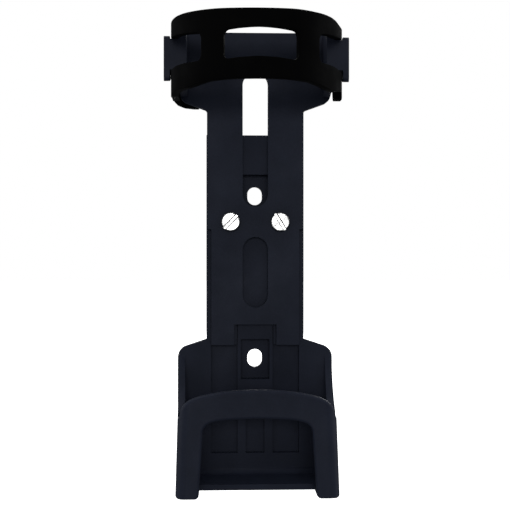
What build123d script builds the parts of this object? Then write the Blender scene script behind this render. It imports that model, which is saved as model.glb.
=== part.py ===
"""Folding-lock frame bracket: a lower holder bolted to the bicycle frame, an
upper holder that slides on it to set the length, and a rubber ladder strap.

Millimetres.  X runs to the right, Z up, and the front of the bracket faces -Y.
The origin is the middle of the two-bolt pattern, on the rear face that sits on
the frame tube.  Depths below are distances in front of that face, so a depth d
is the plane y = -d.
"""
import math
import os

from build123d import *

# ---------------------------------------------------------------- driving sizes
BOLT_PITCH = 64.0          # standard bottle-cage boss spacing
BOLT_SLOT_W = 5.8          # clears an M5 bolt
BOLT_SLOT_L = 7.2
BOLT_SEAT_D = 3.0          # depth of the floor under the bolt heads
BOLT_SEAT_W = 11.2

TRAVEL = 42.4              # how far the upper holder slides down

NUT_TRACK_D = 2.8          # rear tracks that the square nuts run in
CHANNEL_D = 4.8            # floor of the front guide channels
BASE_D = 7.3               # front of rails, spine, wings and pocket back wall
PLATE_BACK_D = 7.4         # back of the sliding plate
PLATE_D = 10.2             # front of the sliding plate
RUNNER_BACK_D = 4.9        # back of the runners that fill the channels

RAIL_X = 18.95             # outer half width of the rails
CHANNEL_X0 = 6.85
CHANNEL_X1 = 17.15
TONGUE_TOP = 55.4
CHANNEL_END = -68.5

SCREW_X = 9.55
SCREW_Z = 21.5
SCREW_R = 1.95             # M4 shank
SCREW_HEAD_R = 3.6
SCREW_HEAD_H = 2.4
SCREW_LEN = 10.0
NUT_W = 7.0
NUT_H = 2.2

PLATE_X = 18.7             # half width of the sliding plate above its shoulders
PLATE_NARROW_X = 17.05
SHOULDER_Z = 18.7
PLATE_END = CHANNEL_END + TRAVEL
HEAD_X = 28.9
HEAD_TOP = 94.7
SIDE_WALL_T = 2.7
EAR_D = 24.5
EAR_X0 = 32.3
EAR_X1 = 34.5
NECK_TOP = 88.9

PEG_X = -25.6              # pegs on the back for the anchored strap end
PEG_Z = (74.6, 87.6)

POCKET_X = 30.0
POCKET_BOTTOM = -78.7
FLOOR_T = 2.2
FLOOR_EDGE_D = 24.6
WING_T = 2.6

STRAP_T = 2.8
STRAP_TOP = 94.0
STRAP_LOW_MID = 69.9
STRAP_LOW_SIDE = 67.0
WINDOW_Z0 = 76.6
WINDOW_Z1 = 87.9
HINGE = (-27.2, 37.4)      # x and depth of the line the strap folds about


# ---------------------------------------------------------------- small helpers
def block(x0, x1, d0, d1, z0, z1):
    """Box between two x values, two depths and two heights."""
    centre = ((x0 + x1) / 2, -(d0 + d1) / 2, (z0 + z1) / 2)
    return Pos(*centre) * Box(abs(x1 - x0), abs(d1 - d0), abs(z1 - z0))


def from_front(outline, d0, d1):
    """Extrude a closed (x, z) sketch from depth d0 forward to depth d1."""
    plane = Plane(origin=(0, -d0, 0), x_dir=(1, 0, 0), z_dir=(0, -1, 0))
    return extrude(plane * outline, amount=d1 - d0)


def from_side(points, x0, x1):
    """Extrude a closed (depth, z) polygon from x0 to x1."""
    wire = Polyline([(x0, -d, z) for d, z in points], close=True)
    return extrude(make_face(wire), amount=x1 - x0, dir=(1, 0, 0))


def from_top(points, z0, z1):
    """Extrude a closed (x, depth) polygon from z0 up to z1."""
    wire = Polyline([(x, -d, z0) for x, d in points], close=True)
    return extrude(make_face(wire), amount=z1 - z0, dir=(0, 0, 1))


def slot_shape(x, z0, z1, width):
    """Vertical round-ended slot as an (x, z) sketch."""
    return Pos(x, (z0 + z1) / 2) * SlotOverall(z1 - z0, width, rotation=90)


def curved_face(curve, rest, end_run):
    """(x, z) sketch bounded by a smooth curve that starts level and ends along end_run,
    then by straight lines."""
    bend = Spline(*curve, tangents=((1, 0), end_run))
    lines = Polyline(curve[-1], *rest, curve[0])
    return make_face([bend, lines])


def swept_cut(curve, top, x0, x1):
    """Cut from x0 to x1 above a smooth (depth, z) curve, up to the height top."""
    bend = Spline(*[(x0, -d, z) for d, z in curve])
    first = (x0, -curve[0][0], top)
    last = (x0, -curve[-1][0], top)
    sides = Polyline(bend @ 1, last, first, bend @ 0)
    return extrude(make_face([bend, sides]), amount=x1 - x0, dir=(1, 0, 0))


def both_sides(solid):
    return solid + mirror(solid, about=Plane.YZ)


# ---------------------------------------------------------------- lower holder
def pocket_section(z, half_back, half_front, depth, radius):
    """Plan outline of the pocket at height z, rounded at its two front corners."""
    back = BASE_D - WING_T
    outline = make_face(Polyline((-half_back, -back), (-half_front, -depth),
                                 (half_front, -depth), (half_back, -back), close=True))
    front = outline.vertices().sort_by(Axis.Y)[:2]
    return Pos(0, 0, z) * fillet(front, radius)


def floor_fillet(radius):
    """Concave strip that blends the pocket floor into its back wall."""
    top = POCKET_BOTTOM + FLOOR_T
    strip = block(-27.0, 27.0, BASE_D - 0.5, BASE_D + radius, top - 0.5, top + radius)
    roll = Pos(0, -BASE_D - radius, top + radius) * Rot(0, 90, 0) * Cylinder(radius, 60)
    return strip - roll


def corner_round(x, z, side, radius):
    """Sketch of what rounding takes off a lower corner whose solid lies on one side."""
    square = Pos(x + side * radius / 2, z + radius / 2) * Rectangle(radius, radius)
    return square - Pos(x + side * radius, z + radius) * Circle(radius)


def loop_rim(edge, low, high, shortest):
    """True for a long edge of the loop's front face that lies between two heights."""
    box = edge.bounding_box()
    front = box.max.Y < -33.3 and edge.length > shortest
    return front and box.min.Z > low - 3.0 and box.max.Z < high and abs(edge.center().X) < 24


def make_lower_holder():
    # guide section: spine, channels and rails run the whole length of the tongue
    body = block(-RAIL_X, RAIL_X, 0, BASE_D, POCKET_BOTTOM, TONGUE_TOP)
    body -= both_sides(block(CHANNEL_X0, CHANNEL_X1, CHANNEL_D, BASE_D + 1,
                             CHANNEL_END, TONGUE_TOP + 1))
    body -= both_sides(block(5.9, 16.9, -1, NUT_TRACK_D, -64.0, TONGUE_TOP - 3.0))

    # wings and back wall of the pocket
    wing = Polyline((0, -20), (RAIL_X - 1, -23.7), (POCKET_X + 0.1, -27.7),
                    (POCKET_X + 0.1, POCKET_BOTTOM), (0, POCKET_BOTTOM), close=True)
    wings = make_face(wing)
    wings += mirror(wings, about=Plane.YZ)
    outline = fillet(wings.vertices().filter_by(lambda v: v.Y > -31 and abs(v.X) > 25), 4.6)
    body += from_front(outline, BASE_D - WING_T, BASE_D)
    body -= both_sides(block(CHANNEL_X0, CHANNEL_X1, CHANNEL_D, BASE_D + 1,
                             CHANNEL_END, -20))

    # pocket shell: a tapered box open at the top
    outer = loft([pocket_section(POCKET_BOTTOM, 30.1, 29.7, 37.4, 3.5),
                  pocket_section(-22.0, 30.1, 28.1, 31.6, 5.5)], ruled=True)
    inner = loft([pocket_section(POCKET_BOTTOM, 27.4, 27.1, 34.4, 2.0),
                  pocket_section(-22.0, 27.4, 25.5, 28.6, 3.5)], ruled=True)
    inner &= block(-40, 40, BASE_D, 60, POCKET_BOTTOM + FLOOR_T, 0)
    shell = outer - inner - block(-27.4, 27.4, 0, BASE_D, POCKET_BOTTOM - 1, -20)
    shell &= from_front(outline, 0, 60)

    # the side walls sweep down from the wings to the front loop
    sweep = [(BASE_D, -30.2), (9.2, -34.6), (13.0, -40.4), (18.0, -45.4), (24.0, -49.0),
             (30.4, -50.8)]
    side_cut = both_sides(swept_cut(sweep, -20, 20.0, 31))
    arch = curved_face([(0, -40.4), (12, -41.0), (20, -42.4), (24.6, -44.0), (27.4, -46.6),
                        (28.7, -50.9)], [(32, -50.9), (32, -10), (0, -10)], (1.3, -3.9))
    arch += mirror(arch, about=Plane.YZ)
    shell -= side_cut
    shell -= from_front(arch, 25.0, 45.0)
    shell -= block(-24.7, 24.7, BASE_D, 26.0, -60, -10)

    # loop window, open at the bottom in front of the floor
    window = curved_face([(0, -50.6), (9, -50.9), (16.2, -51.8), (18.9, -53.2), (19.9, -56.0)],
                         [(21.4, POCKET_BOTTOM - 2), (0, POCKET_BOTTOM - 2)],
                         (1.5, 54.0 + POCKET_BOTTOM))
    window += mirror(window, about=Plane.YZ)
    shell -= from_front(window, FLOOR_EDGE_D, 45.0)
    body += shell
    body += floor_fillet(2.4)

    # rolled front edges of the loop: its top rim, then its window and the inner leg edges
    for low, high, shortest, radius in ((-44.5, -40.0, 40.0, 1.2),
                                        (POCKET_BOTTOM + 1, -50.5, 15.0, 0.9)):
        rims = body.edges().filter_by(lambda e: loop_rim(e, low, high, shortest))
        body = fillet(rims, radius)

    # rounded lower corners of the two feet
    body -= both_sides(from_front(corner_round(POCKET_X + 0.15, POCKET_BOTTOM, -1, 1.9), -1, 45.0))
    body -= both_sides(from_front(corner_round(21.0, POCKET_BOTTOM, 1, 1.9), FLOOR_EDGE_D, 45.0))

    # bolt seats, bolt slots and the clamp slots through the channel floors
    half = BOLT_PITCH / 2
    seat_w = BOLT_SEAT_W / 2
    body -= block(-seat_w, seat_w, BOLT_SEAT_D, BASE_D + 1, half - 5.9, half + 8.1)
    body -= block(-seat_w, seat_w, BOLT_SEAT_D, BASE_D + 1, -half - 7.7, -half + 7.9)
    for z in (half, -half):
        body -= from_front(slot_shape(0, z - BOLT_SLOT_L / 2, z + BOLT_SLOT_L / 2, BOLT_SLOT_W),
                           -1, BOLT_SEAT_D + 1)
    body -= block(-3.6, 3.6, CHANNEL_D, BASE_D + 1, CHANNEL_END, -45.0)
    for x in (-SCREW_X, SCREW_X):
        body -= from_front(slot_shape(x, SCREW_Z - TRAVEL - 2.3, SCREW_Z + 2.3, 4.5),
                           NUT_TRACK_D - 1, CHANNEL_D + 1)
    return body


# ---------------------------------------------------------------- upper holder
def make_upper_holder():
    half = Polyline((0, PLATE_END), (PLATE_NARROW_X, PLATE_END), (PLATE_NARROW_X, SHOULDER_Z),
                    (PLATE_X, SHOULDER_Z), (PLATE_X, 64.6), (27.0, 67.6), (HEAD_X, 69.2),
                    (HEAD_X, HEAD_TOP), (0, HEAD_TOP), close=True)
    plate = make_face(half)
    plate += mirror(plate, about=Plane.YZ)
    corners = plate.vertices().filter_by(lambda v: abs(v.X) > 26 or (60 < v.Y < 66))
    plate = fillet(corners, 1.4)
    body = from_front(plate, PLATE_BACK_D, PLATE_D)

    # runners that fill the channels of the lower holder
    body += both_sides(block(7.1, PLATE_NARROW_X, RUNNER_BACK_D, PLATE_BACK_D + 0.5,
                             PLATE_END, 52.0))
    body -= block(-8.2, 8.2, PLATE_BACK_D, 20, PLATE_END - 1, PLATE_END + 7.9)

    # windows over the two bolts
    body -= from_front(slot_shape(0, 27.4, 79.5, 9.8), 0, 20)
    body -= from_front(slot_shape(0, -11.6, 15.7, 9.8), 0, 20)
    for x in (-SCREW_X, SCREW_X):
        hole = Pos(x, -PLATE_D / 2, SCREW_Z) * Rot(90, 0, 0) * Cylinder(2.1, PLATE_D + 4)
        body -= hole

    # side walls, tapered towards the hooks the strap buttons over
    wall = [(PLATE_BACK_D, 69.8), (PLATE_BACK_D, HEAD_TOP - 1.2), (PLATE_D + 1, HEAD_TOP - 1.2),
            (EAR_D, 90.2), (EAR_D, 73.0), (PLATE_D + 1, 69.8)]
    body += both_sides(from_side(wall, HEAD_X - SIDE_WALL_T, HEAD_X))
    neck = block(HEAD_X - 1, EAR_X0 + 0.5, EAR_D - 9.0, EAR_D, 77.6, NECK_TOP)
    hook = [(EAR_D, 73.0), (EAR_D, 90.2), (EAR_D - 10.5, 89.8), (EAR_D - 10.5, 76.0)]
    flange = from_side(hook, EAR_X0, EAR_X1)
    flange = fillet(flange.edges().filter_by(Axis.X), 1.4)
    body += both_sides(neck + flange)

    # pegs on the back that hold the anchored end of the strap
    for z in PEG_Z:
        shank = Pos(PEG_X, -(PLATE_BACK_D + 3.7) / 2, z) * Rot(90, 0, 0)
        body += shank * Cylinder(2.2, PLATE_BACK_D - 3.7)
        button = Pos(PEG_X, -(3.7 + 2.5) / 2, z) * Rot(90, 0, 0)
        body += button * Cylinder(3.4, 3.7 - 2.5)
    return body


# ---------------------------------------------------------------- clamp screws
def make_screw(x, slot_angle):
    shank = Pos(0, 0, SCREW_LEN / 2 * -1) * Cylinder(SCREW_R, SCREW_LEN)
    head = Pos(0, 0, SCREW_HEAD_H / 2) * Cylinder(SCREW_HEAD_R, SCREW_HEAD_H)
    head = fillet(head.edges().group_by(Axis.Z)[-1], 0.45)
    screw = shank + head
    screw -= Pos(0, 0, SCREW_HEAD_H) * Rot(0, 0, slot_angle) * Box(12, 1.2, 2.2)
    screw = chamfer(screw.edges().group_by(Axis.Z)[0], 0.4)
    return Pos(x, -PLATE_D, SCREW_Z) * Rot(90, 0, 0) * screw


def make_nut(x):
    top = NUT_TRACK_D - 0.02
    nut = block(x - NUT_W / 2, x + NUT_W / 2, top - NUT_H, top,
                SCREW_Z - NUT_W / 2, SCREW_Z + NUT_W / 2)
    bore = Pos(x, -(top - NUT_H / 2), SCREW_Z) * Rot(90, 0, 0) * Cylinder(2.0, NUT_H + 2)
    return nut - bore


# ---------------------------------------------------------------- strap
SIDE_X = 31.8              # outer face of the straight sides beside the hooks
CURVE = [(-SIDE_X, 24.6), (-31.3, 30.0), (-30.0, 35.0), (-28.0, 39.2), (-24.8, 43.0),
         (-19.2, 46.7), (-12.0, 49.1), (0.0, 50.0), (11.0, 49.2), (17.4, 47.2),
         (22.2, 44.2), (25.6, 40.4), (28.0, 36.0), (29.8, 31.6), (31.1, 28.0), (SIDE_X, 24.6)]


def inward(line, gap):
    """Points of an open curve moved sideways by gap, towards the inside."""
    moved = []
    for i, (x, d) in enumerate(line):
        if i in (0, len(line) - 1):
            moved.append((x - math.copysign(gap, x), d))
            continue
        x0, d0 = line[i - 1]
        x1, d1 = line[i + 1]
        run = math.hypot(x1 - x0, d1 - d0)
        moved.append((x + gap * (d1 - d0) / run, d - gap * (x1 - x0) / run))
    return moved


def band(curve, thickness, rear, z0, z1):
    """Upright band that follows a curve and runs straight back to depth rear."""
    lines = []
    for points in (curve, inward(curve, thickness)):
        x0 = points[0][0]
        x1 = points[-1][0]
        tangents = ((0, -1), (0, 1))
        bend = Spline(*[(x, -d) for x, d in points], tangents=tangents)
        lines += [Line((x0, -rear), bend @ 0), bend, Line(bend @ 1, (x1, -rear))]
    ends = [Line(lines[0] @ 0, lines[3] @ 0), Line(lines[2] @ 1, lines[5] @ 1)]
    section = make_face(Wire(lines + ends))
    return extrude(Pos(0, 0, z0) * section, amount=z1 - z0, dir=(0, 0, 1))


def make_strap():
    inner = SIDE_X - STRAP_T
    strap = band(CURVE, STRAP_T, 11.0, STRAP_LOW_SIDE, STRAP_TOP)

    # the lower edge arches up across the front and eases up along both sides
    arch = Polyline((-25.5, 60), (-25.5, STRAP_LOW_SIDE), (-18, 68.6), (-9, 69.6),
                    (0, STRAP_LOW_MID), (9, 69.6), (18, 68.6), (25.5, STRAP_LOW_SIDE),
                    (25.5, 60), close=True)
    strap -= from_front(make_face(arch), 36.0, 60.0)
    ease = [(5, 60), (5, 68.8), (16, 68.5), (26, 67.8), (36, STRAP_LOW_SIDE), (36, 60)]
    strap -= from_side(ease, 20, 40)
    strap -= from_side([(d, z - 0.5) for d, z in ease], -40, -20)

    # ladder windows: one in front and one on each side, over the hooks
    middle = make_face(Polyline((-12.6, WINDOW_Z0 - 0.5), (-6, WINDOW_Z0), (6, WINDOW_Z0),
                                (12.6, WINDOW_Z0 - 0.5), (12.6, WINDOW_Z1 - 1.2), (7, WINDOW_Z1),
                                (0, WINDOW_Z1 + 0.4), (-7, WINDOW_Z1), (-12.6, WINDOW_Z1 - 1.2),
                                close=True))
    strap -= from_front(fillet(middle.vertices().filter_by(lambda v: abs(v.X) > 12), 1.8), 30, 60)
    for x in (-1, 1):
        side = block(x * 21.2, x * 40, 14.4, 60, WINDOW_Z0, NECK_TOP + 0.4)
        strap -= fillet(side.edges().filter_by(Axis.Y).group_by(Axis.X)[-1 if x < 0 else 0], 1.8)

    # free right end with a small pull tab, anchored left end wrapped behind
    strap += block(inner, SIDE_X, 7.6, 11.0, 69.0, STRAP_TOP - 1.2)
    strap += block(inner - 0.7, SIDE_X, 12.0, 20.0, 68.2, 69.0)
    tail = from_top([(-SIDE_X, 11.0), (-SIDE_X, 6.8), (-30.8, 5.0), (-29.0, 4.2), (-21.9, 4.2),
                     (-21.9, 7.0), (-inner, 7.0), (-inner, 11.0)], 65.8, STRAP_TOP - 1.2)
    corner = Polyline((-40, 60), (-40, 70.5), (-31.8, 70.5), (-31.5, 68.6), (-30.2, 67.2),
                      (-27.4, 66.2), (-24.0, 65.8), (-24.0, 60), close=True)
    tail -= from_front(make_face(corner), 0, 20)
    for z in PEG_Z:
        tail -= Pos(PEG_X, -5, z) * Rot(90, 0, 0) * Cylinder(2.3, 10)
    return strap + tail


def split_strap(strap):
    """Divide the strap where it folds, along the local thickness direction."""
    x, d = HINGE
    far = 90.0
    out = (-0.74, 0.67)
    along = (0.67, 0.74)
    a = (x - out[0] * 8, d - out[1] * 8)
    b = (x + out[0] * 12, d + out[1] * 12)
    side = [a, b, (b[0] + along[0] * far, b[1] + along[1] * far),
            (b[0] + 150, b[1] - 60), (a[0] + 60, a[1] - 80), (-10.0, 0.0), (-10.0, 25.0)]
    mask = from_top(side, 40, 120)
    return strap & mask, strap - mask


os.makedirs("parts", exist_ok=True)
strap_front, strap_tail = split_strap(make_strap())
nodes = {
    "lower_holder": make_lower_holder(),
    "upper_holder": make_upper_holder(),
    "clamp_screw_left": make_screw(-SCREW_X, 45),
    "clamp_screw_right": make_screw(SCREW_X, -58),
    "clamp_nut_left": make_nut(-SCREW_X),
    "clamp_nut_right": make_nut(SCREW_X),
    "strap_front": strap_front,
    "strap_tail": strap_tail,
}
for name, shape in nodes.items():
    export_step(shape, f"parts/{name}.step")
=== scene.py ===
"""Looks for the folding-lock frame bracket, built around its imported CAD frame.

Metres.  +X is right, +Z up, and the bracket faces -Y.  The comments give sizes
in millimetres, and mm() turns them into metres.
"""
import math

import bmesh
import bpy
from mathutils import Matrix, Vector


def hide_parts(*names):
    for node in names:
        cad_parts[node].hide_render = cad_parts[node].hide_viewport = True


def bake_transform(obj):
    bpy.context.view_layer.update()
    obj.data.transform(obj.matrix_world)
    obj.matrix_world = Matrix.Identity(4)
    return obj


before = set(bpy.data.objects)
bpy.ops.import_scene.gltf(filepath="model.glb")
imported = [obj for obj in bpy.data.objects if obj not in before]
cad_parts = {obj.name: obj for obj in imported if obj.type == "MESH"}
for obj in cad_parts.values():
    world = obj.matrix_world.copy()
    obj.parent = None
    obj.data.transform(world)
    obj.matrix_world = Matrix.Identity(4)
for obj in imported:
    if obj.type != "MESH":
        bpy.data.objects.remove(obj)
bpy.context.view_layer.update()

MM = 0.001
SCREW_X, SCREW_Z = 9.55, 21.5
SCREW_HEAD_R = 3.6 * MM
RING_PITCH = 0.26 * MM        # spacing of the turned rings on a screw's head
SLOT_HALF = 0.6 * MM          # half the width of a screw's slot
EDGE_LINE = 0.17 * MM         # painted shade reaches this far each side of the slot's edges
SCENE = bpy.context.scene


def mm(*values):
    """Millimetres to metres, as a tuple."""
    return tuple(v * MM for v in values)


# ------------------------------------------------------------------ node helpers
class Graph:
    """Short calls for building a node tree."""

    def __init__(self, tree):
        self.tree = tree
        tree.nodes.clear()

    def node(self, kind, **settings):
        made = self.tree.nodes.new(kind)
        for name, value in settings.items():
            if hasattr(made, name):
                setattr(made, name, value)
            else:
                made.inputs[name].default_value = value
        return made

    def link(self, source, target):
        self.tree.links.new(source, target)

    def math(self, operation, a, b=None):
        made = self.tree.nodes.new("ShaderNodeMath")
        made.operation = operation
        for socket, value in zip(made.inputs, (a, b)):
            if value is None:
                continue
            if isinstance(value, (int, float)):
                socket.default_value = value
            else:
                self.link(value, socket)
        return made.outputs[0]

    def noise(self, coords, scale, detail=3.0, rough=0.55):
        made = self.tree.nodes.new("ShaderNodeTexNoise")
        made.inputs["Scale"].default_value = scale
        made.inputs["Detail"].default_value = detail
        made.inputs["Roughness"].default_value = rough
        self.link(coords, made.inputs["Vector"])
        return made.outputs["Fac"]

    def cells(self, coords, scale, feature="SMOOTH_F1"):
        made = self.tree.nodes.new("ShaderNodeTexVoronoi")
        made.feature = feature
        made.inputs["Scale"].default_value = scale
        self.link(coords, made.inputs["Vector"])
        return made.outputs["Distance"]

    def ramp(self, factor, stops):
        """Colour ramp from (position, colour) stops; a colour may be one grey value."""
        made = self.tree.nodes.new("ShaderNodeValToRGB")
        elements = made.color_ramp.elements
        while len(elements) < len(stops):
            elements.new(0.5)
        for element, (position, colour) in zip(elements, stops):
            element.position = position
            if isinstance(colour, (int, float)):
                colour = (colour,) * 3
            element.color = (*colour, 1.0)
        self.link(factor, made.inputs["Fac"])
        return made.outputs["Color"]

    def bump(self, height, distance, strength=1.0, normal=None):
        made = self.tree.nodes.new("ShaderNodeBump")
        made.inputs["Strength"].default_value = strength
        made.inputs["Distance"].default_value = distance
        self.link(height, made.inputs["Height"])
        if normal is not None:
            self.link(normal, made.inputs["Normal"])
        return made.outputs["Normal"]


def new_material(name):
    """An empty Principled material: the material, its graph, its shader and its coordinates."""
    made = bpy.data.materials.new(name)
    made.use_nodes = True
    graph = Graph(made.node_tree)
    shader = graph.node("ShaderNodeBsdfPrincipled")
    output = graph.node("ShaderNodeOutputMaterial")
    graph.link(shader.outputs["BSDF"], output.inputs["Surface"])
    coords = graph.node("ShaderNodeTexCoord").outputs["Object"]
    return made, graph, shader, coords


# ------------------------------------------------------------------ materials
def plastic(name, dark, light, roughness, grain):
    """Moulded nylon: fine spark-eroded grain, faint flow mottling and patches rubbed smoother."""
    made, g, shader, coords = new_material(name)
    mottle = g.noise(coords, 55.0, 4.0, 0.6)
    fleck = g.noise(coords, 1500.0, 2.0, 0.7)
    blend = g.math("ADD", g.math("MULTIPLY", mottle, 0.75), g.math("MULTIPLY", fleck, 0.25))
    g.link(g.ramp(blend, [(0.36, dark), (0.64, light)]), shader.inputs["Base Color"])
    patch = g.noise(coords, 26.0, 5.0, 0.62)
    rubbed = g.ramp(patch, [(0.35, roughness + 0.05), (0.55, roughness), (0.75, roughness - 0.09)])
    g.link(rubbed, shader.inputs["Roughness"])
    shader.inputs["Specular IOR Level"].default_value = 0.25
    coarse = g.bump(g.cells(coords, 2300.0), 0.000035, grain)
    fine = g.bump(g.noise(coords, 5200.0, 2.0, 0.6), 0.00002, grain, coarse)
    slow = g.bump(g.noise(coords, 90.0, 2.0, 0.5), 0.00006, 0.25, fine)
    g.link(slow, shader.inputs["Normal"])
    return made


def rubber(name):
    """Black moulded rubber with a soft skin, faint bloom and a fine pebbled surface."""
    made, g, shader, coords = new_material(name)
    bloom = g.noise(coords, 70.0, 5.0, 0.65)
    tone = g.ramp(bloom, [(0.35, (0.0003, 0.0003, 0.0004)), (0.7, (0.0009, 0.0009, 0.0011))])
    g.link(tone, shader.inputs["Base Color"])
    g.link(g.ramp(g.noise(coords, 140.0, 4.0, 0.6), [(0.3, 0.62), (0.7, 0.76)]),
           shader.inputs["Roughness"])
    shader.inputs["Specular IOR Level"].default_value = 0.05
    pebble = g.bump(g.cells(coords, 1300.0), 0.00004, 0.35)
    g.link(g.bump(g.noise(coords, 260.0, 3.0, 0.5), 0.00008, 0.3, pebble), shader.inputs["Normal"])
    return made


def plated(name, tint, roughness, centre=None, slot_angle=0.0):
    """Zinc-plated steel; with a centre, turned rings run round it and painted shade darkens its
    slot's walls and edges.
    """
    made, g, shader, coords = new_material(name)
    stain = g.noise(coords, 420.0, 5.0, 0.6)
    base = g.ramp(stain, [(0.3, tuple(c * 0.82 for c in tint)), (0.6, tint)])
    g.link(base, shader.inputs["Base Color"])
    shader.inputs["Metallic"].default_value = 1.0
    g.link(g.ramp(g.noise(coords, 800.0, 4.0, 0.6), [(0.3, roughness), (0.7, roughness + 0.14)]),
           shader.inputs["Roughness"])
    normal = g.bump(g.noise(coords, 2600.0, 3.0, 0.6), 0.00001, 0.5)
    if centre is not None:
        split = g.node("ShaderNodeSeparateXYZ")
        g.link(coords, split.inputs[0])
        dx = g.math("SUBTRACT", split.outputs["X"], centre[0])
        dz = g.math("SUBTRACT", split.outputs["Z"], centre[1])
        radius = g.math("SQRT", g.math("ADD", g.math("MULTIPLY", dx, dx),
                                       g.math("MULTIPLY", dz, dz)))
        rings = g.math("SINE", g.math("MULTIPLY", radius, 2 * math.pi / RING_PITCH))
        normal = g.bump(rings, 0.000012, 0.5, normal)
        facing = g.node("ShaderNodeSeparateXYZ")
        g.link(g.node("ShaderNodeNewGeometry").outputs["Normal"], facing.inputs[0])
        upright = g.math("LESS_THAN", g.math("ABSOLUTE", facing.outputs["Y"]), 0.75)
        turn = math.radians(slot_angle)
        across = g.math("SUBTRACT", g.math("MULTIPLY", dz, math.cos(turn)),
                        g.math("MULTIPLY", dx, math.sin(turn)))
        off_edge = g.math("SUBTRACT", g.math("ABSOLUTE", across), SLOT_HALF)
        edge_line = g.math("LESS_THAN", g.math("ABSOLUTE", off_edge), EDGE_LINE)
        inner = g.math("LESS_THAN", radius, SCREW_HEAD_R)
        slot_shade_mask = g.math("MULTIPLY", g.math("MAXIMUM", upright, edge_line), inner)
        # painted shade: inside the head, the sideways-facing slot walls and a thin line along each
        # slot edge are darkened
        slot_shade = g.node("ShaderNodeMix", data_type="RGBA")
        g.link(slot_shade_mask, slot_shade.inputs[0])
        g.link(base, slot_shade.inputs[6])
        slot_shade.inputs[7].default_value = (0.035, 0.033, 0.032, 1)
        g.link(slot_shade.outputs[2], shader.inputs["Base Color"])
    g.link(normal, shader.inputs["Normal"])
    return made


lower_plastic = plastic("lower_plastic", (0.0102, 0.0142, 0.0292), (0.0165, 0.0218, 0.0425),
                        0.62, 0.5)
upper_plastic = plastic("upper_plastic", (0.0106, 0.0147, 0.0300), (0.0171, 0.0226, 0.0436),
                        0.60, 0.5)
# Edge rolls get a lighter base colour: a painted highlight along the edges, together with rubbed
# wear and a smoother finish.
edge_highlight_and_wear = plastic("edge_highlight_and_wear", (0.0128, 0.0172, 0.0330), (0.0205, 0.0262, 0.0465), 0.54, 0.2)
strap_rubber = rubber("strap_rubber")
nut_steel = plated("nut_steel", (0.56, 0.55, 0.52), 0.38)


# ------------------------------------------------------------------ CAD pieces that stay
def dress(node, materials, width, segments=2, angle=30.0):
    """Gives a CAD node its materials and rolls its sharp edges; the rolls take the last material."""
    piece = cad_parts[node]
    piece.data.materials.clear()
    for item in materials:
        piece.data.materials.append(item)
    weld = piece.modifiers.new("weld", "WELD")
    weld.merge_threshold = 0.000002
    flat = piece.modifiers.new("flat", "DECIMATE")
    flat.decimate_type = "DISSOLVE"
    flat.angle_limit = math.radians(0.8)
    roll = piece.modifiers.new("roll", "BEVEL")
    roll.width = width * MM
    roll.segments = segments
    roll.limit_method = "ANGLE"
    roll.angle_limit = math.radians(angle)
    roll.material = len(materials) - 1
    roll.harden_normals = True
    roll.use_clamp_overlap = True
    return piece


dress("lower_holder", [lower_plastic, edge_highlight_and_wear], 0.35)
dress("upper_holder", [upper_plastic, edge_highlight_and_wear], 0.35)
for side, sign, slot_angle in (("left", -1, 45.0), ("right", 1, -58.0)):
    steel = plated(f"screw_steel_{side}", (0.90, 0.90, 0.89), 0.10, mm(sign * SCREW_X, SCREW_Z),
                   slot_angle)
    dress(f"clamp_screw_{side}", [steel, steel], 0.12)
    dress(f"clamp_nut_{side}", [nut_steel, nut_steel], 0.2)


# ------------------------------------------------------------------ rubber strap
STRAP_T = 2.8
STEP = 0.6                    # spacing of the mesh columns along the strap
TOP_Z, END_TOP_Z = 94.0, 92.8
WINDOW_LOW, WINDOW_HIGH, WINDOW_R = 76.6, 87.9, 1.8
PEG_X, PEG_Z = -25.6, (74.6, 87.6)

# lower edge along the right-hand side as (depth, z): a small finger tab hangs from it
FINGER_TAB = [(8.0, 72.2), (17.0, 71.2), (18.0, 68.2), (18.8, 67.1), (20.0, 66.7), (23.6, 66.7),
              (24.8, 67.1), (25.6, 68.2), (26.2, 69.0), (29.0, 68.8), (36.0, 67.6)]

# outer face of the strap in plan, as (x, depth), from behind the left hook to the right end
OUTER = [(-21.9, 4.2), (-25.6, 4.2), (-28.6, 4.2), (-30.2, 4.7), (-31.3, 5.8), (-31.8, 7.6),
         (-31.8, 11.0), (-31.8, 15.0), (-31.8, 20.0), (-31.8, 24.6), (-31.3, 30.0),
         (-30.0, 35.0), (-28.0, 39.2), (-24.8, 43.0), (-19.2, 46.7), (-12.0, 49.1),
         (0.0, 50.0), (11.0, 49.2), (17.4, 47.2), (22.2, 44.2), (25.6, 40.4), (28.0, 36.0),
         (29.8, 31.6), (31.1, 28.0), (31.8, 24.6), (31.8, 20.0), (31.8, 15.0), (31.8, 7.6)]


def between(x, table):
    """Straight-line interpolation in a table of (x, y) points, flat beyond its ends."""
    if x <= table[0][0]:
        return table[0][1]
    for (x0, y0), (x1, y1) in zip(table, table[1:]):
        if x <= x1:
            return y0 + (y1 - y0) * (x - x0) / (x1 - x0)
    return table[-1][1]


def smooth_path(points, step):
    """Catmull-Rom curve through the points, cut into pieces of about the step length."""
    ext = [points[0]] + points + [points[-1]]
    fine = []
    for i in range(1, len(ext) - 2):
        p0, p1, p2, p3 = (Vector(p) for p in ext[i - 1:i + 3])
        for k in range(24):
            t = k / 24
            fine.append(0.5 * (2 * p1 + (p2 - p0) * t + (2 * p0 - 5 * p1 + 4 * p2 - p3) * t * t
                               + (3 * p1 - p0 - 3 * p2 + p3) * t ** 3))
    fine.append(Vector(points[-1]))
    total = sum((b - a).length for a, b in zip(fine, fine[1:]))
    count = round(total / step)
    path, walked, target = [fine[0]], 0.0, total / count
    for a, b in zip(fine, fine[1:]):
        length = (b - a).length
        while walked + length >= target - 1e-9 and len(path) < count:
            path.append(a.lerp(b, (target - walked) / length))
            target += total / count
        walked += length
    path.append(fine[-1])
    return path


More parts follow.
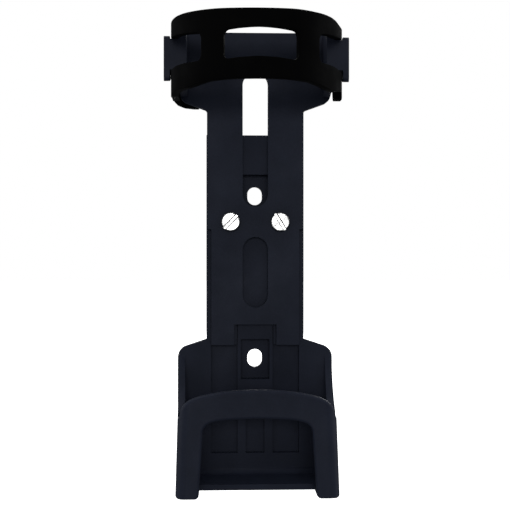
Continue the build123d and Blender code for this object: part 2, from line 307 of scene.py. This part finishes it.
def low_edge(x, depth):
    """Height of the strap's lower edge over a point of its plan."""
    if depth < 9.0 and x < 0:
        return between(-x, [(24.0, 65.8), (27.4, 66.2), (30.2, 67.2), (31.5, 68.4), (31.8, 69.0)])
    if depth > 36.0:
        return between(abs(x), [(0, 69.9), (9, 69.8), (18, 69.2), (25.5, 67.6)])
    if x > 0:
        return between(depth, FINGER_TAB)
    return between(depth, [(9.0, 68.2), (16.0, 68.0), (26.0, 67.3), (36.0, 67.6)])


def top_edge(x, depth):
    """Height of the strap's upper edge, which sags a little round the right-hand side."""
    edge = between(depth, [(6.0, END_TOP_Z), (11.0, END_TOP_Z), (14.0, TOP_Z - 0.3), (19.0, TOP_Z)])
    sag = [(10.0, 0.6), (16.0, 1.6), (29.0, 1.5), (36.0, 0.7), (46.0, 0.3), (49.0, 0.0)]
    return edge - (between(depth, sag) if x > 0 else 0.0)


def window_heights(x, depth):
    """Lower and upper edge of the windows; the front one is arched, the side ones sit lower."""
    if depth > 47.5:
        low = between(abs(x), [(0, WINDOW_LOW + 0.8), (7, WINDOW_LOW + 0.4), (13, WINDOW_LOW - 0.4)])
        high = between(abs(x), [(0, WINDOW_HIGH), (3, WINDOW_HIGH - 0.1),
                                (7, WINDOW_HIGH - 0.4), (13, WINDOW_HIGH - 1.2)])
        return low, high
    rise = between(depth, [(15.0, 1.4), (24.0, 1.4), (33.0, -0.2), (40.0, -0.9), (46.0, -1.7)])
    return WINDOW_LOW - 0.3, WINDOW_HIGH + rise


def window_ends(path):
    """Path positions where each window starts and ends, as index pairs."""
    inside = []
    for x, depth in path:
        front = -12.9 < x < 13.9 and depth > 30
        side = (x < -19.9 or x > 20.9) and depth > 14.4
        inside.append(front or side)
    edges, start = [], None
    for i, flag in enumerate(inside):
        if flag and start is None:
            start = i
        if not flag and start is not None:
            edges.append((start, i - 1))
            start = None
    return edges


def make_strap():
    """One continuous ladder strap: a sheet with windows, thickened and rolled at its edges."""
    path = smooth_path(OUTER, STEP)
    count = len(path)
    normals = []
    for i in range(count):
        a, b = path[max(i - 1, 0)], path[min(i + 1, count - 1)]
        run = (b - a).normalized()
        normals.append(Vector((run.y, -run.x)))      # towards the inside of the loop
    windows = window_ends(path)

    def opening(i):
        """Lower and upper edge of the middle row, which is solid between windows."""
        low, high = window_heights(*path[i])
        low, high = low + WINDOW_R, high - WINDOW_R
        for start, end in windows:
            if start <= i <= end:
                near = min(i - start, end - i) * STEP
                bite = WINDOW_R
                if near < WINDOW_R:
                    bite = math.sqrt(WINDOW_R ** 2 - (WINDOW_R - near) ** 2)
                return low - bite, high + bite
        return low, high

    mesh = bmesh.new()
    rows_low, rows_mid, rows_high = 5, 6, 5
    columns = []
    for i, (p, n) in enumerate(zip(path, normals)):
        x, depth = p
        z0, z3 = low_edge(x, depth), top_edge(x, depth)
        z1, z2 = opening(i)
        heights = [z0 + (z1 - z0) * k / rows_low for k in range(rows_low)]
        heights += [z1 + (z2 - z1) * k / rows_mid for k in range(rows_mid)]
        heights += [z2 + (z3 - z2) * k / rows_high for k in range(rows_high + 1)]
        mid = p + n * (STRAP_T / 2)
        columns.append([mesh.verts.new(mm(mid.x, -mid.y, z)) for z in heights])
    for i, (left, right) in enumerate(zip(columns, columns[1:])):
        open_here = any(start <= i < end for start, end in windows)
        for k in range(len(left) - 1):
            if open_here and rows_low <= k < rows_low + rows_mid:
                continue
            mesh.faces.new((left[k], right[k], right[k + 1], left[k + 1]))
    mesh.verts.ensure_lookup_table()
    loose = [v for v in mesh.verts if not v.link_faces]
    bmesh.ops.delete(mesh, geom=loose, context="VERTS")
    data = bpy.data.meshes.new("strap")
    mesh.to_mesh(data)
    mesh.free()
    raw = bpy.data.objects.new("strap_raw", data)
    SCENE.collection.objects.link(raw)

    thick = raw.modifiers.new("thick", "SOLIDIFY")
    thick.thickness = STRAP_T * MM
    thick.offset = 0.0
    thick.use_even_offset = True
    roll = raw.modifiers.new("roll", "BEVEL")
    roll.width = 0.55 * MM
    roll.segments = 3
    roll.limit_method = "ANGLE"
    roll.angle_limit = math.radians(50)
    cutters = []
    for z in PEG_Z:
        bpy.ops.mesh.primitive_cylinder_add(vertices=40, radius=2.3 * MM, depth=6 * MM,
                                            location=mm(PEG_X, -5.6, z),
                                            rotation=(math.pi / 2, 0, 0))
        cutter = bpy.context.object
        cut = raw.modifiers.new("hole", "BOOLEAN")
        cut.operation = "DIFFERENCE"
        cut.solver = "EXACT"
        cut.object = cutter
        cutters.append(cutter)
    graph = bpy.context.evaluated_depsgraph_get()
    final = bpy.data.meshes.new_from_object(raw.evaluated_get(graph))
    for item in [raw] + cutters:
        bpy.data.objects.remove(item)
    final.name = "rubber_strap"
    strap = bpy.data.objects.new("rubber_strap", final)
    SCENE.collection.objects.link(strap)
    final.materials.clear()
    final.materials.append(strap_rubber)
    for polygon in final.polygons:
        polygon.use_smooth = True
    bpy.context.view_layer.objects.active = strap
    strap.select_set(True)
    bpy.ops.object.shade_auto_smooth(angle=math.radians(40))
    strap.select_set(False)
    return strap


strap = make_strap()
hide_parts("strap_front", "strap_tail")
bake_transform(strap)


# ------------------------------------------------------------------ floor, light, camera
FLOOR_Z = -0.17               # the bracket hangs clear above it


def make_floor():
    """A white studio floor that shows to the camera but lights nothing."""
    mesh = bmesh.new()
    bmesh.ops.create_grid(mesh, x_segments=1, y_segments=1, size=6.0)
    data = bpy.data.meshes.new("floor")
    mesh.to_mesh(data)
    mesh.free()
    floor = bpy.data.objects.new("floor", data)
    floor.location = (0, 0, FLOOR_Z)
    SCENE.collection.objects.link(floor)
    made, _, shader, _ = new_material("floor")
    shader.inputs["Base Color"].default_value = (0.9, 0.9, 0.9, 1)
    shader.inputs["Roughness"].default_value = 0.9
    shader.inputs["Specular IOR Level"].default_value = 0.0
    shader.inputs["Emission Color"].default_value = (1, 1, 1, 1)
    shader.inputs["Emission Strength"].default_value = 1.0
    data.materials.append(made)
    floor.visible_diffuse = False
    floor.visible_glossy = False


def softbox(name, location, target, size, energy):
    """A rectangular lamp aimed at a point, not seen by the camera itself."""
    data = bpy.data.lights.new(name, "AREA")
    data.shape = "RECTANGLE"
    data.size, data.size_y = size
    data.energy = energy
    lamp = bpy.data.objects.new(name, data)
    lamp.location = location
    direction = Vector(target) - Vector(location)
    lamp.rotation_euler = direction.to_track_quat("-Z", "Y").to_euler()
    lamp.visible_camera = False
    SCENE.collection.objects.link(lamp)


make_floor()
softbox("front", (-0.05, -1.5, 0.30), (0, 0, 0.03), (0.7, 0.25), 2.9)
softbox("card", (0.05, -1.5, 0.075), (0, 0, 0.03), (0.6, 0.14), 0.75)
softbox("low", (0.0, -0.7, -0.13), (0, 0, -0.06), (0.9, 0.05), 0.10)
softbox("top", (0.0, 0.15, 1.3), (0, 0, 0), (1.2, 1.2), 5.5)
softbox("left", (-1.5, 0.05, 0.3), (0, 0, 0), (0.5, 1.3), 5.0)
softbox("right", (1.5, 0.15, 0.3), (0, 0, 0), (0.5, 1.3), 6.0)
softbox("back", (0.2, 1.6, 0.5), (0, 0, 0), (1.2, 0.9), 13.0)

world = bpy.data.worlds.new("studio")
SCENE.world = world
world.use_nodes = True
sky = Graph(world.node_tree)
white = sky.node("ShaderNodeBackground")
white.inputs["Color"].default_value = (1, 1, 1, 1)
white.inputs["Strength"].default_value = 1.0
dim = sky.node("ShaderNodeBackground")
dim.inputs["Color"].default_value = (0.93, 0.96, 1.0, 1)
dim.inputs["Strength"].default_value = 0.18
mix = sky.node("ShaderNodeMixShader")
seen = sky.node("ShaderNodeLightPath").outputs["Is Camera Ray"]
sky.link(seen, mix.inputs["Fac"])
sky.link(dim.outputs[0], mix.inputs[1])
sky.link(white.outputs[0], mix.inputs[2])
sky.link(mix.outputs[0], sky.node("ShaderNodeOutputWorld").inputs["Surface"])

camera_data = bpy.data.cameras.new("camera")
camera_data.lens = 65.64
camera_data.sensor_width = 36.0
camera_data.clip_start = 0.01
camera = bpy.data.objects.new("camera", camera_data)
camera.location = (-0.01273, -0.370, 0.00871)
camera.rotation_euler = (math.pi / 2, 0, -0.0350)
SCENE.collection.objects.link(camera)
SCENE.camera = camera
SCENE.view_settings.view_transform = "Standard"
